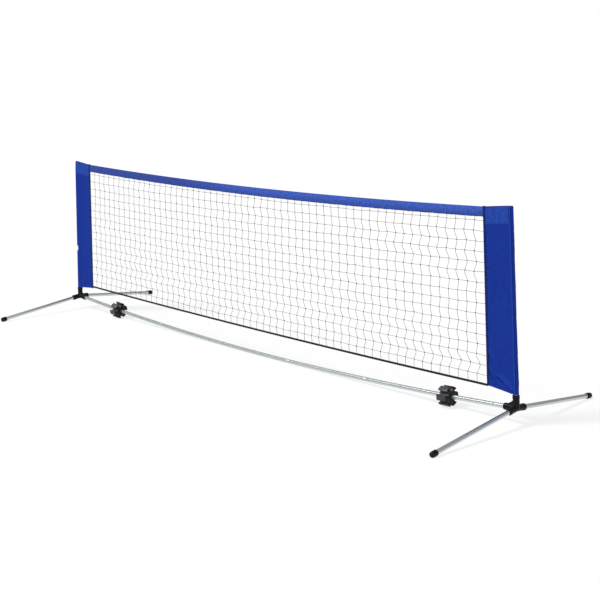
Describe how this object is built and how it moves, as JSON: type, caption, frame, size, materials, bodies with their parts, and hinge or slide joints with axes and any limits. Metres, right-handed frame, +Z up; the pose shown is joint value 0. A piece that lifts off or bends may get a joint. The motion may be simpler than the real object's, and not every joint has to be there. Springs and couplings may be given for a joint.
{
  "type": "portable badminton net",
  "caption": "Portable net in its low setting: steel tube frame with plastic corner connectors, star-shaped tube clips, blue cloth end panels and band, and knotted netting.",
  "frame": {"origin": "on the floor under the middle of the net, midway between the two posts and between the front and back feet", "axes": "+X along the net to its right end seen from the front, +Y to the back across the net, +Z up"},
  "size_m": [3.1488, 1.0274, 0.8588],
  "materials": {
    "tube_steel": "gloss",
    "black_plastic": "satin",
    "cap_plastic": "gloss",
    "panel_cloth": "matte",
    "band_cloth": "matte",
    "binding_tape": "matte",
    "label_tape": "matte",
    "net_thread": "matte",
    "cord": "matte"
  },
  "bodies": {
    "frame": {"bar_tube_middle": "tube_steel", "bar_tube_inner_left": "tube_steel", "bar_tube_inner_right": "tube_steel", "bar_tube_outer_left": "tube_steel", "bar_tube_outer_right": "tube_steel", "post_left": "tube_steel", "post_right": "tube_steel", "connector_left": "black_plastic", "connector_right": "black_plastic", "post_cap_left": "black_plastic", "post_cap_right": "black_plastic", "panel_left": "panel_cloth", "panel_right": "panel_cloth", "patch_left": "panel_cloth", "patch_right": "panel_cloth", "binding_left": "binding_tape", "binding_right": "binding_tape", "care_label": "label_tape", "top_band": "band_cloth", "netting": "net_thread", "bottom_cord": "cord"},
    "leg_front_left": {"leg_tube_front_left": "tube_steel", "foot_cap_front_left": "cap_plastic"},
    "leg_back_left": {"leg_tube_back_left": "tube_steel", "foot_cap_back_left": "cap_plastic"},
    "leg_front_right": {"leg_tube_front_right": "tube_steel", "foot_cap_front_right": "cap_plastic"},
    "leg_back_right": {"leg_tube_back_right": "tube_steel", "foot_cap_back_right": "cap_plastic"},
    "clip_left": {"star_clip_left": "black_plastic"},
    "clip_right": {"star_clip_right": "black_plastic"}
  },
  "joints": [
    {"name": "front_left_leg_pull", "type": "slide", "parent": "frame", "child": "leg_front_left", "axis": [-0.0076, -0.9931, -0.1172], "range_m": [0, 0.035]},
    {"name": "back_left_leg_pull", "type": "slide", "parent": "frame", "child": "leg_back_left", "axis": [-0.0076, 0.9931, -0.1172], "range_m": [0, 0.035]},
    {"name": "front_right_leg_pull", "type": "slide", "parent": "frame", "child": "leg_front_right", "axis": [0.0076, -0.9931, -0.1172], "range_m": [0, 0.035]},
    {"name": "back_right_leg_pull", "type": "slide", "parent": "frame", "child": "leg_back_right", "axis": [0.0076, 0.9931, -0.1172], "range_m": [0, 0.035]},
    {"name": "left_clip_turn", "type": "hinge", "parent": "frame", "child": "clip_left", "pos_m": [-1.16634, 0, 0.04388], "axis": [0.9983, 0, -0.0581], "continuous": true},
    {"name": "right_clip_turn", "type": "hinge", "parent": "frame", "child": "clip_right", "pos_m": [1.21127, 0, 0.04655], "axis": [0.9982, 0, 0.0603], "continuous": true}
  ]
}
